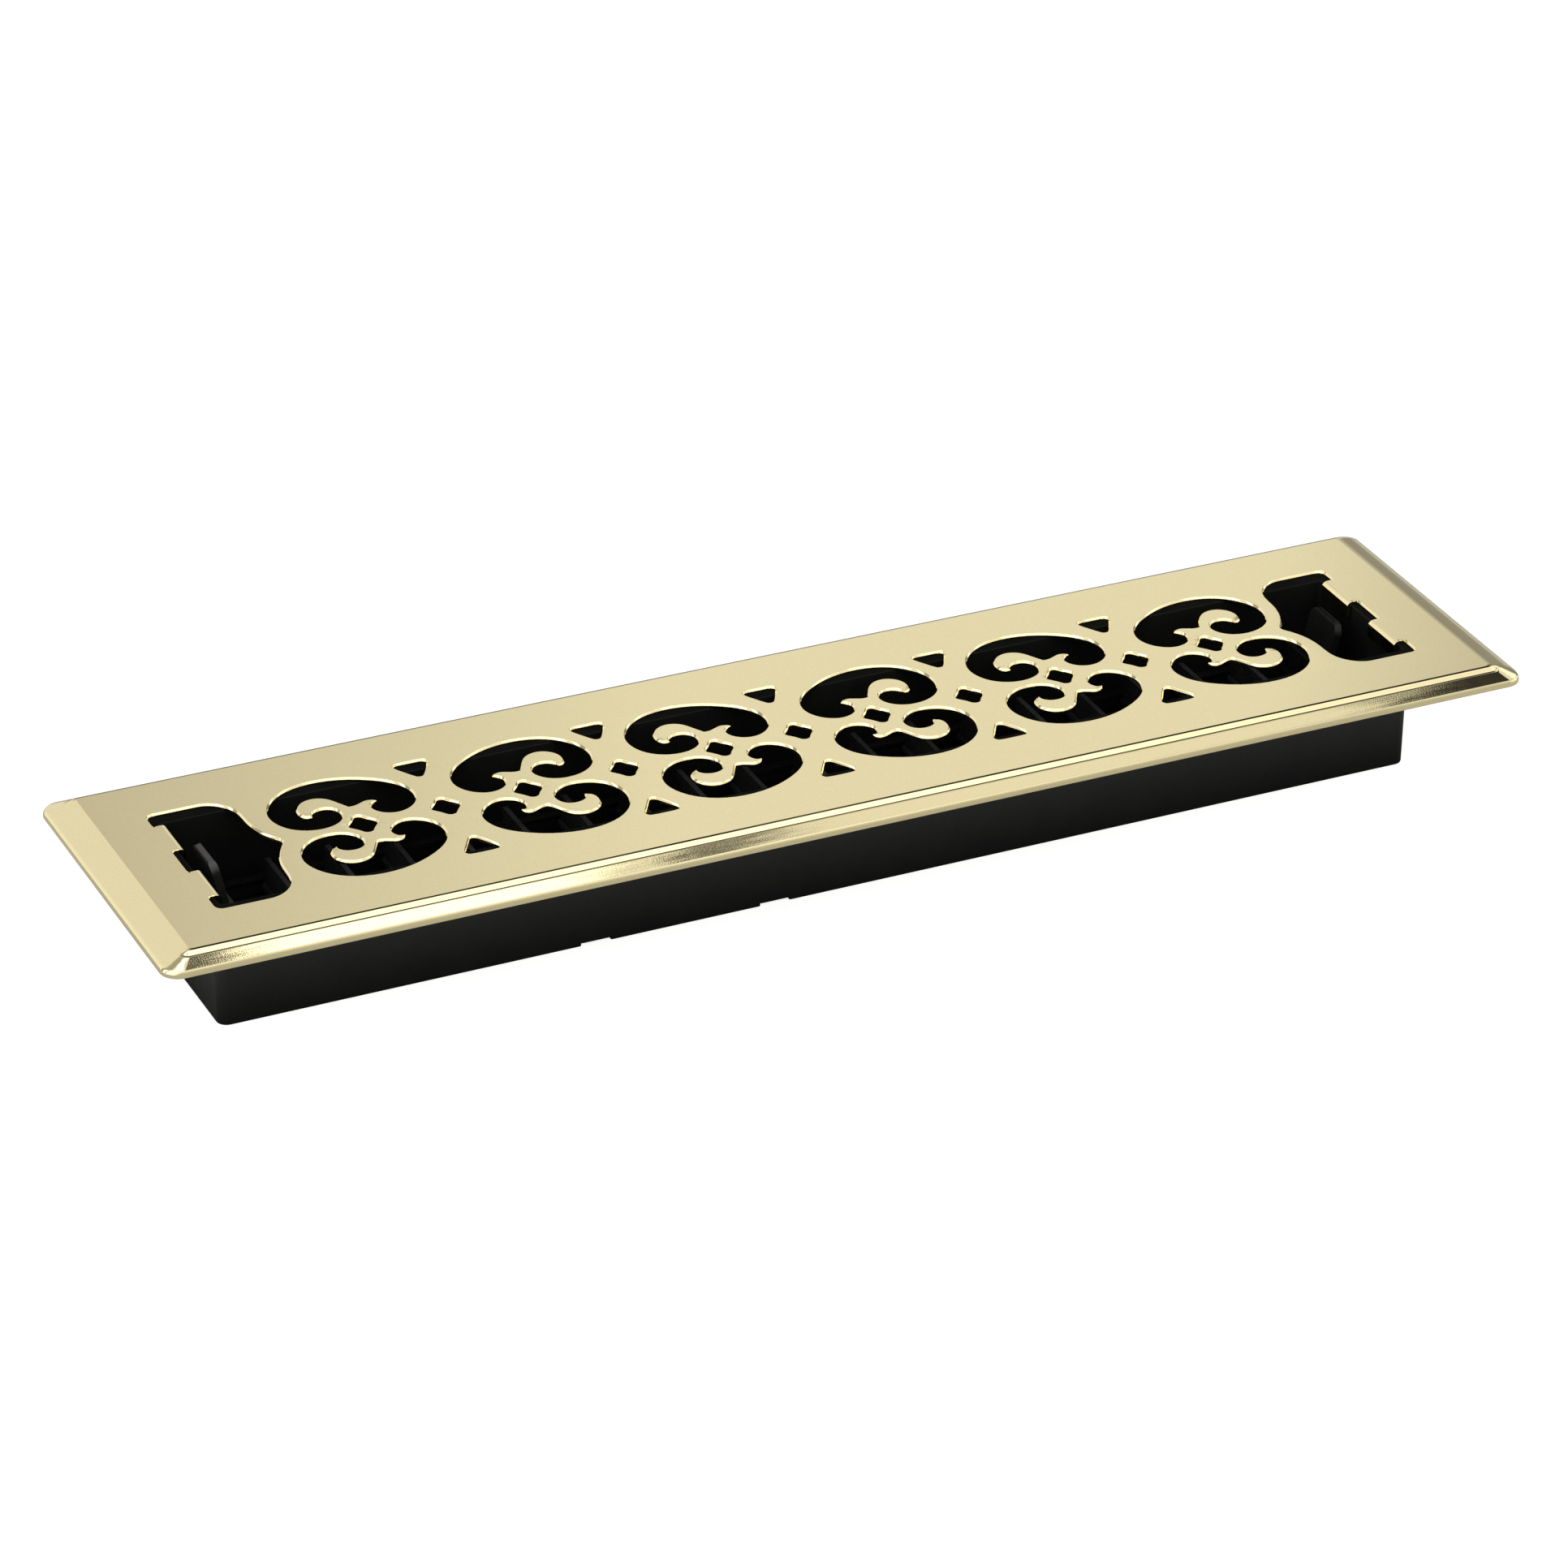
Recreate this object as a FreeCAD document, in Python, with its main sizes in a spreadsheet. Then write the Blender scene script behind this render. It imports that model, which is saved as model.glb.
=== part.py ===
import FreeCAD, Part
import math
import os

import Sketcher

# A floor register for a 2 1/4 x 14 inch duct opening: a pierced and bevelled sheet metal faceplate over a
# plastic damper box. Inside the box two banks of crosswise vanes turn on bearing rails. In each bank a thumb
# lever turns the outermost vane, and a link bar carries that turn to the other nine.
#
# Millimetres. The origin is the centre of the box's bottom edge, X runs along the register, Y across it and
# Z up through the faceplate. All vanes are upright (open) as modelled.

SIZES = [
    ("plate_length", 393.7, "faceplate, overall length"),
    ("plate_width", 95.25, "faceplate, overall width"),
    ("plate_corner", 5.0, "faceplate, corner radius in plan"),
    ("plate_top", 36.0, "height of the faceplate's flat above the box's bottom edge"),
    ("sheet", 1.1, "sheet metal thickness"),
    ("side_border", 5.8, "sloping border on the long sides, width in plan"),
    ("end_border", 8.5, "sloping border at the ends, width in plan"),
    ("bevel_drop", 3.2, "sloping border, drop"),
    ("lip", 1.6, "upright lip below the border, outside height"),
    ("lip_inside", 0.9, "upright lip, inside height"),
    ("fold_corner", 1.0, "corner radius of the flat where the border starts"),
    ("motif_pitch", 50.8, "distance between scroll pairs along the register"),
    ("diamond_shift", 2.2, "a pair's own diamond, offset towards the beaks"),
    ("scroll_shift", 0.85, "all scrolls, offset to the right of the other openings"),
    ("tab_inner", 5.8, "bent tab, edge next to the centre notch"),
    ("tab_outer", 19.8, "bent tab, outer edge"),
    ("tab_face", 171.3, "bent tab, inner face from the centre"),
    ("tab_bottom", 31.4, "bent tab, height of its bottom edge"),
    ("tab_bend", 1.5, "bent tab, outside bend radius"),
    ("box_length", 349.2, "damper box, outside length"),
    ("box_width", 49.0, "damper box, outside width"),
    ("box_wall", 1.8, "damper box, wall thickness"),
    ("box_corner", 3.0, "damper box, outside corner radius"),
    ("flange", 3.0, "flange round the damper box's top, width outside the wall"),
    ("flange_thick", 1.2, "flange round the damper box's top, thickness"),
    ("notch_width", 8.4, "bottom edge notch, width"),
    ("notch_depth", 0.9, "bottom edge notch, depth"),
    ("notch_one", -69.6, "first notch in the front wall, centre"),
    ("notch_two", -17.9, "second notch in the front wall, centre"),
    ("axis_height", 11.0, "height of the vane pivots"),
    ("first_pivot", 9.0, "innermost pivot, distance from the middle"),
    ("vane_pitch", 16.88, "distance between vane pivots"),
    ("vane_chord", 17.6, "vane blade, height when open"),
    ("vane_thick", 1.4, "vane blade, thickness"),
    ("vane_length", 39.8, "vane blade, length across the box"),
    ("vane_slot", 6.4, "cut-out in the blade for the link bar, width"),
    ("vane_slot_top", 2.8, "cut-out in the blade, distance below the pivot"),
    ("shaft_radius", 1.5, "vane shaft radius"),
    ("shaft_length", 44.6, "vane shaft length"),
    ("running_gap", 0.05, "radial clearance of every turning pin"),
    ("rail_thick", 2.4, "bearing rail, thickness"),
    ("rail_height", 6.0, "bearing rail, height"),
    ("crank_offset", 5.0, "crank pin, distance inwards and down from the pivot"),
    ("crank_pin", 0.9, "crank pin radius"),
    ("ear_inner", 1.4, "crank ear, inner face from the middle"),
    ("ear_thick", 1.6, "crank ear thickness"),
    ("ear_radius", 1.6, "crank ear, radius of its rounded end"),
    ("bar_height", 3.6, "link bar height"),
    ("bar_thick", 2.0, "link bar thickness"),
    ("bar_overhang", 2.5, "link bar, length past its end pins"),
    ("snap_width", 1.6, "snap slot from a link bar hole to its bottom edge"),
    ("lever_reach", 22.8, "thumb lever, tip distance from its pivot"),
    ("lever_lean", 13.0, "thumb lever, outward lean when open, in degrees"),
    ("lever_width", 14.0, "thumb tab, width"),
    ("lever_thick", 2.2, "thumb tab, thickness"),
    ("lever_round", 3.5, "thumb tab, rounding of its two upper corners"),
]

VANES_PER_SIDE = 9
PIVOTS_PER_SIDE = VANES_PER_SIDE + 1  # the outermost pivot is the thumb lever's

# One scroll opening with its curl on the left, in the upper half of the plate, from its own centre.
# Three smooth curves meet at the beak's point, the curl's point and the cusp between them.
BEAK_POINT = (9.1, 9.7)
CURL_POINT = (-9.2, 8.4)
CUSP = (1.6, 10.2)
OUTER_SWEEP = [BEAK_POINT, (7.9, 9.0), (7.1, 7.2), (8.1, 4.5), (12.2, 2.7), (16.5, 4.5), (19.1, 9.0)]
OUTER_SWEEP += [(18.4, 14.3), (11.9, 21.1), (-1.3, 25.5), (-13.8, 22.1), (-19.2, 12.4)]
OUTER_SWEEP += [(-16.4, 5.0), (-9.9, 2.1), (-4.3, 3.6), (-2.1, 7.5), (-3.5, 10.6), (-6.3, 11.2), CURL_POINT]
CURL = [CURL_POINT, (-11.5, 9.2), (-12.4, 11.9), (-10.8, 16.0), (-6.7, 17.9), (-2.4, 16.4), (0.0, 13.0), CUSP]
BEAK = [CUSP, (3.8, 10.6), (6.6, 11.6), (8.5, 11.0), BEAK_POINT]

DIAMOND_HALF_WIDTH = 3.95
DIAMOND_HALF_HEIGHT = 5.05
DIAMOND_WAIST = (1.85, 2.35)
DIAMOND_ROUND = 1.1

TRIANGLE_HALF_BASE = 5.1
TRIANGLE_BASE = 25.4
TRIANGLE_POINT = 16.9
TRIANGLE_ROUND = 1.0

# One end window: a pointed ogee towards the middle of the plate and a square end.
WINDOW_HALF_WIDTH = 25.8
WINDOW_END = 174.5
WINDOW_SHOULDER = 161.2
WINDOW_OGEE = [(156.4, 24.3), (153.0, 19.6), (152.4, 13.4), (151.3, 7.3), (149.6, 3.5)]
WINDOW_POINT = 147.1


def make_sheet(doc):
    """The driving dimensions, one row each: description, value and alias."""
    sheet = doc.addObject("Spreadsheet::Sheet", "Sizes")
    for row, (alias, value, description) in enumerate(SIZES, start=1):
        sheet.set("A%d" % row, description)
        sheet.set("B%d" % row, str(value))
        sheet.setAlias("B%d" % row, alias)
    doc.recompute()
    return sheet


doc = FreeCAD.newDocument("floor_register")
sheet = make_sheet(doc)


def size(alias):
    """A driving dimension's value."""
    return float(sheet.get(alias))


def bind(target, **expressions):
    """Binds properties of an object to the sheet; a double underscore stands for a dot in a path."""
    for path, expression in expressions.items():
        target.setExpression(path.replace("__", "."), expression)


# ---------------------------------------------------------------- sketch helpers


def new_body(label):
    body = doc.addObject("PartDesign::Body", label)
    body.Label = label
    return body


def new_sketch(body, name, plane="XY_Plane", offset="0"):
    """A sketch on one of the body's own origin planes, lifted off it by an expression."""
    sketch = body.newObject("Sketcher::SketchObject", name)
    origin_plane = [part for part in body.Origin.OriginFeatures if part.Role == plane][0]
    sketch.AttachmentSupport = [(origin_plane, "")]
    sketch.MapMode = "FlatFace"
    bind(sketch, AttachmentOffset__Base__z=offset)
    doc.recompute()
    return sketch


def rounded_rectangle(body, name, length, width, corner, offset="0"):
    """A sketch of a rounded rectangle centred on the origin; all sizes are expressions."""
    sketch = new_sketch(body, name, "XY_Plane", offset)
    radius = sheet.evalExpression(corner)
    half_x = sheet.evalExpression(length) / 2
    half_y = sheet.evalExpression(width) / 2
    centre_x = half_x - radius
    centre_y = half_y - radius
    corners = [(centre_x, -centre_y), (centre_x, centre_y), (-centre_x, centre_y), (-centre_x, -centre_y)]
    for index, (x, y) in enumerate(corners):
        circle = Part.Circle(FreeCAD.Vector(x, y, 0), FreeCAD.Vector(0, 0, 1), radius)
        start = math.pi / 2 * (index - 1)
        sketch.addGeometry(Part.ArcOfCircle(circle, start, start + math.pi / 2), False)
    for index in range(4):
        begin = sketch.Geometry[index].EndPoint
        end = sketch.Geometry[(index + 1) % 4].StartPoint
        sketch.addGeometry(Part.LineSegment(begin, end), False)
    for index in range(4):
        sketch.addConstraint(Sketcher.Constraint("Tangent", index, 2, 4 + index, 1))
        sketch.addConstraint(Sketcher.Constraint("Tangent", 4 + index, 2, (index + 1) % 4, 1))
    for line, direction in ((4, "Vertical"), (5, "Horizontal"), (6, "Vertical"), (7, "Horizontal")):
        sketch.addConstraint(Sketcher.Constraint(direction, line))
    for arc in (1, 2, 3):
        sketch.addConstraint(Sketcher.Constraint("Equal", 0, arc))
    sketch.addConstraint(Sketcher.Constraint("Symmetric", 0, 3, 2, 3, -1, 1))
    drivers = [
        ("corner", Sketcher.Constraint("Radius", 0, radius), corner),
        ("length", Sketcher.Constraint("DistanceX", 6, 1, 4, 1, 2 * half_x), length),
        ("width", Sketcher.Constraint("DistanceY", 7, 1, 5, 1, 2 * half_y), width),
    ]
    for label, constraint, expression in drivers:
        index = sketch.addConstraint(constraint)
        sketch.renameConstraint(index, label)
        sketch.setExpression("Constraints." + label, expression)
    doc.recompute()
    return sketch


def vector(point):
    return FreeCAD.Vector(point[0], point[1], 0)


def add_curve(sketch, points):
    """A smooth curve through the points."""
    curve = Part.BSplineCurve()
    curve.interpolate([vector(point) for point in points])
    sketch.addGeometry(curve, False)


def add_polygon(sketch, points, rounding=0.0, sharp=()):
    """A closed polygon whose corners are arcs of the given radius; it can be 0, or some corners sharp."""
    joints = []
    count = len(points)
    for index in range(count):
        here = vector(points[index])
        before = (vector(points[index - 1]) - here).normalize()
        after = (vector(points[(index + 1) % count]) - here).normalize()
        if rounding == 0.0 or index in sharp:
            joints.append((here, here))
            continue
        half_angle = before.getAngle(after) / 2
        reach = rounding / math.tan(half_angle)
        first = here + before * reach
        last = here + after * reach
        middle_line = (before + after).normalize()
        middle = here + middle_line * (rounding / math.sin(half_angle) - rounding)
        sketch.addGeometry(Part.Arc(first, middle, last), False)
        joints.append((first, last))
    for index in range(count):
        begin = joints[index][1]
        end = joints[(index + 1) % count][0]
        sketch.addGeometry(Part.LineSegment(begin, end), False)


def cut(body, sketch, depth, upwards=False):
    """A pocket of the sketch; its direction is checked by the volume it takes away."""
    before = body.Shape.Volume
    pocket = body.newObject("PartDesign::Pocket", sketch.Name + "_cut")
    pocket.Profile = sketch
    bind(pocket, Length=depth)
    pocket.Reversed = upwards
    body.Tip = pocket
    doc.recompute()
    if before - body.Shape.Volume < 0.01:
        raise RuntimeError(sketch.Name + " cuts nothing")
    return pocket


def pad(body, sketch, length, both_ways=False):
    feature = body.newObject("PartDesign::Pad", sketch.Name + "_pad")
    feature.Profile = sketch
    feature.Midplane = both_ways
    bind(feature, Length=length)
    body.Tip = feature
    doc.recompute()
    return feature


def repeat_along(body, feature, length, count):
    """The feature again and again along X, the first where it stands and the last a length away."""
    pattern = body.newObject("PartDesign::LinearPattern", feature.Name + "_row")
    pattern.Originals = [feature]
    x_axis = [part for part in body.Origin.OriginFeatures if part.Role == "X_Axis"][0]
    pattern.Direction = (x_axis, [""])
    bind(pattern, Length=length)
    pattern.Occurrences = count
    body.Tip = pattern
    doc.recompute()


def mirror(body, features, plane):
    mirrored = body.newObject("PartDesign::Mirrored", features[0].Name + "_mirror")
    mirrored.Originals = features
    origin_plane = [part for part in body.Origin.OriginFeatures if part.Role == plane][0]
    mirrored.MirrorPlane = (origin_plane, [""])
    body.Tip = mirrored
    doc.recompute()


# ---------------------------------------------------------------- faceplate


def add_scroll(sketch, centre, side, half):
    """One scroll opening; side 1 has its curl on the left and -1 on the right, half 1 is the upper one."""
    for points in (OUTER_SWEEP, CURL, BEAK):
        add_curve(sketch, [(centre + side * x, half * y) for x, y in points])


def add_diamond(sketch, centre):
    """A diamond opening with slightly hollow sides and rounded points."""
    outline = []
    for x_sign, y_sign in ((1, 1), (-1, 1), (-1, -1), (1, -1)):
        side_point = (centre + x_sign * DIAMOND_HALF_WIDTH, 0)
        waist = (centre + x_sign * DIAMOND_WAIST[0], y_sign * DIAMOND_WAIST[1])
        end_point = (centre, y_sign * DIAMOND_HALF_HEIGHT)
        run = [side_point, waist, end_point]
        if x_sign * y_sign < 0:
            run.reverse()
        outline += run[:-1]
    add_polygon(sketch, outline, DIAMOND_ROUND)


def add_triangle(sketch, centre, half):
    corners = [(-TRIANGLE_HALF_BASE, TRIANGLE_BASE), (0, TRIANGLE_POINT), (TRIANGLE_HALF_BASE, TRIANGLE_BASE)]
    add_polygon(sketch, [(centre + x, half * y) for x, y in corners], TRIANGLE_ROUND)


def add_window(sketch):
    """The left end window."""
    for half in (1, -1):
        shoulder = (-WINDOW_SHOULDER, half * WINDOW_HALF_WIDTH)
        ogee = [shoulder] + [(-x, half * y) for x, y in WINDOW_OGEE] + [(-WINDOW_POINT, 0)]
        add_curve(sketch, ogee)
        corner = (-WINDOW_END, half * WINDOW_HALF_WIDTH)
        sketch.addGeometry(Part.LineSegment(vector(shoulder), vector(corner)), False)
    upper = vector((-WINDOW_END, WINDOW_HALF_WIDTH))
    lower = vector((-WINDOW_END, -WINDOW_HALF_WIDTH))
    sketch.addGeometry(Part.LineSegment(upper, lower), False)


def add_tab_profile(sketch, side):
    """Side view of a bent tab: in from the window's square end, then down to its end inside the box."""
    top = size("plate_top")
    under = top - size("sheet")
    face = size("tab_face")
    back = face + size("sheet")
    outer = size("tab_bend")
    inner = outer - size("sheet")
    root = WINDOW_END + 0.5
    slant = math.sqrt(0.5)
    bend_x = face + outer
    bend_y = top - outer
    outside = [(face, bend_y), (bend_x - outer * slant, bend_y + outer * slant), (bend_x, top)]
    inside = [(bend_x, under), (bend_x - inner * slant, bend_y + inner * slant), (back, bend_y)]
    low = size("tab_bottom")
    runs = [(outside[2], (root, top)), ((root, top), (root, under)), ((root, under), inside[0])]
    runs += [(inside[2], (back, low)), ((back, low), (face, low)), ((face, low), outside[0])]
    for arc in (outside, inside):
        sketch.addGeometry(Part.Arc(*[vector((side * x, y)) for x, y in arc]), False)
    for begin, end in runs:
        points = [vector((side * x, y)) for x, y in (begin, end)]
        sketch.addGeometry(Part.LineSegment(points[0], points[1]), False)


def build_faceplate():
    """Stamped sheet: a flat with a sloping border, a short lip, scroll openings and four bent tabs."""
    body = new_body("faceplate")
    rim_bottom = "Sizes.plate_top - Sizes.bevel_drop - Sizes.lip"
    flat_length = "Sizes.plate_length - 2 * Sizes.end_border"
    flat_width = "Sizes.plate_width - 2 * Sizes.side_border"
    # Parallel faces of a folded sheet meet at folds that lie half the fold angle's tangent apart.
    end_fold = " - 2 * Sizes.sheet * tan(atan(Sizes.bevel_drop / Sizes.end_border) / 2)"
    side_fold = " - 2 * Sizes.sheet * tan(atan(Sizes.bevel_drop / Sizes.side_border) / 2)"

    rim = rounded_rectangle(
        body, "rim", "Sizes.plate_length", "Sizes.plate_width", "Sizes.plate_corner", rim_bottom
    )
    pad(body, rim, "Sizes.lip")
    border_foot = rounded_rectangle(
        body, "border_foot", "Sizes.plate_length", "Sizes.plate_width", "Sizes.plate_corner",
        rim_bottom + " + Sizes.lip"
    )
    flat = rounded_rectangle(body, "flat", flat_length, flat_width, "Sizes.fold_corner", "Sizes.plate_top")
    border = body.newObject("PartDesign::AdditiveLoft", "border")
    border.Profile = border_foot
    border.Sections = [flat]
    border.Ruled = True
    body.Tip = border
    doc.recompute()

    inside_length = "Sizes.plate_length - 2 * Sizes.sheet"
    inside_width = "Sizes.plate_width - 2 * Sizes.sheet"
    inside_corner = "Sizes.plate_corner - Sizes.sheet"
    rim_inside = rounded_rectangle(body, "rim_inside", inside_length, inside_width, inside_corner, rim_bottom)
    cut(body, rim_inside, "Sizes.lip_inside", upwards=True)
    inside_foot = rounded_rectangle(
        body, "inside_foot", inside_length, inside_width, inside_corner, rim_bottom + " + Sizes.lip_inside"
    )
    inside_flat = rounded_rectangle(
        body, "inside_flat", flat_length + end_fold, flat_width + side_fold, "Sizes.fold_corner",
        "Sizes.plate_top - Sizes.sheet"
    )
    before = body.Shape.Volume
    hollow = body.newObject("PartDesign::SubtractiveLoft", "hollow")
    hollow.Profile = inside_foot
    hollow.Sections = [inside_flat]
    hollow.Ruled = True
    body.Tip = hollow
    doc.recompute()
    if body.Shape.Volume > before / 2:
        raise RuntimeError("the faceplate's underside isn't hollow")

    pitch = size("motif_pitch")
    shift = size("diamond_shift")
    scrolls = new_sketch(body, "scroll_pair_openings", "XY_Plane", "Sizes.plate_top")
    for centre, side in ((-2.5 * pitch, 1), (-1.5 * pitch, -1)):
        for half in (1, -1):
            add_scroll(scrolls, centre + size("scroll_shift"), side, half)
        add_diamond(scrolls, centre + side * shift)
    scroll_cut = cut(body, scrolls, "2 * Sizes.sheet")
    repeat_along(body, scroll_cut, "4 * Sizes.motif_pitch", 3)

    fillers = new_sketch(body, "filler_openings", "XY_Plane", "Sizes.plate_top")
    add_diamond(fillers, -2 * pitch)
    for half in (1, -1):
        add_triangle(fillers, -2 * pitch, half)
    filler_cut = cut(body, fillers, "2 * Sizes.sheet")
    repeat_along(body, filler_cut, "4 * Sizes.motif_pitch", 5)

    window = new_sketch(body, "end_window", "XY_Plane", "Sizes.plate_top")
    add_window(window)
    window_cut = cut(body, window, "2 * Sizes.sheet")
    mirror(body, [window_cut], "YZ_Plane")

    tabs = new_sketch(body, "tabs", "XZ_Plane", "-Sizes.tab_outer")
    for side in (-1, 1):
        add_tab_profile(tabs, side)
    tab_pad = pad(body, tabs, "Sizes.tab_outer - Sizes.tab_inner")
    mirror(body, [tab_pad], "XZ_Plane")
    return body


# ---------------------------------------------------------------- damper box and its bearing rails


def build_damper_box():
    """An open plastic frame: a flange under the plate, two shallow notches under each long wall."""
    body = new_body("damper_box")
    walls = rounded_rectangle(body, "walls", "Sizes.box_length", "Sizes.box_width", "Sizes.box_corner")
    pad(body, walls, "Sizes.plate_top - Sizes.sheet")
    flange = rounded_rectangle(
        body, "flange_outline", "Sizes.box_length + 2 * Sizes.flange", "Sizes.box_width + 2 * Sizes.flange",
        "Sizes.box_corner + Sizes.flange", "Sizes.plate_top - Sizes.sheet - Sizes.flange_thick"
    )
    pad(body, flange, "Sizes.flange_thick")
    air_way = rounded_rectangle(
        body, "air_way", "Sizes.box_length - 2 * Sizes.box_wall", "Sizes.box_width - 2 * Sizes.box_wall",
        "Sizes.box_corner - Sizes.box_wall"
    )
    cut(body, air_way, "Sizes.plate_top", upwards=True)

    notches = new_sketch(body, "notches")
    outer = size("box_width") / 2 + 1
    inner = size("box_width") / 2 - 2 * size("box_wall")
    for half, first, second in ((-1, size("notch_one"), size("notch_two")),
                                (1, -size("notch_one"), -size("notch_two"))):
        for centre in (first, second):
            low = centre - size("notch_width") / 2
            high = centre + size("notch_width") / 2
            corners = [(low, half * outer), (high, half * outer), (high, half * inner), (low, half * inner)]
            add_polygon(notches, corners)
    cut(body, notches, "Sizes.notch_depth", upwards=True)
    return body


def pivot_place(index):
    """Distance of a pivot from the middle of the register, as an expression."""
    return "(Sizes.first_pivot + Sizes.vane_pitch * %d)" % index


def pivot_distance(index):
    """The same distance as a number."""
    return size("first_pivot") + size("vane_pitch") * index


def build_bearing_rail(label, half):
    """A strip inside one long wall with a bearing hole for every shaft; half 1 is the rear wall's."""
    body = new_body(label)
    strip = new_sketch(body, label + "_strip", "XY_Plane", "Sizes.axis_height - Sizes.rail_height / 2")
    end = size("box_length") / 2 - size("box_wall") - size("box_corner") + size("box_wall")
    outer = half * (size("box_width") / 2 - size("box_wall"))
    inner = outer - half * size("rail_thick")
    add_polygon(strip, [(-end, inner), (end, inner), (end, outer), (-end, outer)])
    pad(body, strip, "Sizes.rail_height")

    holes = new_sketch(body, label + "_bearings", "XZ_Plane")
    radius = size("shaft_radius") + size("running_gap")
    for side in (-1, 1):
        for index in range(PIVOTS_PER_SIDE):
            centre = FreeCAD.Vector(side * pivot_distance(index), size("axis_height"), 0)
            sketch_circle = Part.Circle(centre, FreeCAD.Vector(0, 0, 1), radius)
            number = holes.addGeometry(sketch_circle, False)
            constraint = holes.addConstraint(Sketcher.Constraint("Radius", number, radius))
            holes.setExpression("Constraints[%d]" % constraint, "Sizes.shaft_radius + Sizes.running_gap")
    cut(body, holes, "Sizes.box_width / 2", upwards=half < 0)
    return body


# ---------------------------------------------------------------- turning pieces


def primitive_box(name, x_size, y_size, z_size, x_low, y_low, z_low):
    """A Part box; every size and position is an expression."""
    box = doc.addObject("Part::Box", name)
    bind(box, Length=x_size, Width=y_size, Height=z_size)
    bind(box, Placement__Base__x=x_low, Placement__Base__y=y_low, Placement__Base__z=z_low)
    return box


def primitive_pin(name, radius, length, x_centre="0", z_centre="0"):
    """A Part cylinder along Y, centred on the middle of the register; sizes are expressions."""
    pin = doc.addObject("Part::Cylinder", name)
    pin.Placement.Rotation = FreeCAD.Rotation(FreeCAD.Vector(1, 0, 0), -90)
    bind(pin, Radius=radius, Height=length)
    bind(pin, Placement__Base__x=x_centre, Placement__Base__z=z_centre)
    bind(pin, Placement__Base__y="-(%s) / 2" % length)
    return pin


def combine(kind, name, pieces):
    result = doc.addObject(kind, name)
    result.Refine = False
    if kind == "Part::Cut":
        result.Base, result.Tool = pieces
    else:
        result.Shapes = pieces
    return result


def crank_pieces(prefix):
    """Two ears from the shaft down to the crank pin, and the pin between them."""
    pin_length = "2 * (Sizes.ear_inner + Sizes.ear_thick)"
    pieces = [primitive_pin(prefix + "_crank_pin", "Sizes.crank_pin", pin_length,
                            "Sizes.crank_offset", "-Sizes.crank_offset")]
    arm_length = "Sizes.crank_offset * sqrt(2)"
    for label, y_low in (("front", "-(Sizes.ear_inner + Sizes.ear_thick)"), ("rear", "Sizes.ear_inner")):
        arm = doc.addObject("Part::Box", "%s_ear_arm_%s" % (prefix, label))
        bind(arm, Length=arm_length, Width="Sizes.ear_thick", Height="2 * Sizes.ear_radius")
        # The arm slopes down at 45 degrees, so its corner lies one end radius square to that slope.
        arm.Placement.Rotation = FreeCAD.Rotation(FreeCAD.Vector(0, 1, 0), 45)
        bind(arm, Placement__Base__x="-Sizes.ear_radius * sqrt(0.5)", Placement__Base__y=y_low,
             Placement__Base__z="-Sizes.ear_radius * sqrt(0.5)")
        end = doc.addObject("Part::Cylinder", "%s_ear_end_%s" % (prefix, label))
        end.Placement.Rotation = FreeCAD.Rotation(FreeCAD.Vector(1, 0, 0), -90)
        bind(end, Radius="Sizes.ear_radius", Height="Sizes.ear_thick")
        bind(end, Placement__Base__x="Sizes.crank_offset", Placement__Base__y=y_low,
             Placement__Base__z="-Sizes.crank_offset")
        pieces += [arm, end]
    return pieces


def slotted_blade(prefix):
    """The flat blade, with a cut-out below the pivot that the link bar passes through."""
    blade = primitive_box(prefix + "_blade", "Sizes.vane_thick", "Sizes.vane_length", "Sizes.vane_chord",
                          "-Sizes.vane_thick / 2", "-Sizes.vane_length / 2", "-Sizes.vane_chord / 2")
    slot = primitive_box(prefix + "_slot", "2 * Sizes.vane_thick", "Sizes.vane_slot", "Sizes.vane_chord",
                         "-Sizes.vane_thick", "-Sizes.vane_slot / 2",
                         "-Sizes.vane_slot_top - Sizes.vane_chord")
    return combine("Part::Cut", prefix + "_slotted_blade", [blade, slot])


def place_at_pivot(piece, side, index):
    """Puts a turning piece on its pivot; those on the right are turned end for end: cranks face inwards."""
    if side > 0:
        piece.Placement.Rotation = FreeCAD.Rotation(FreeCAD.Vector(0, 0, 1), 180)
    sign = "" if side > 0 else "-"
    bind(piece, Placement__Base__x=sign + pivot_place(index), Placement__Base__z="Sizes.axis_height")


def build_vane(label, side, index):
    """A crosswise vane: blade, shaft and crank in one moulding."""
    shaft = primitive_pin(label + "_shaft", "Sizes.shaft_radius", "Sizes.shaft_length")
    vane = combine("Part::MultiFuse", label, [slotted_blade(label), shaft] + crank_pieces(label))
    vane.Label = label
    place_at_pivot(vane, side, index)
    return vane


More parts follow.
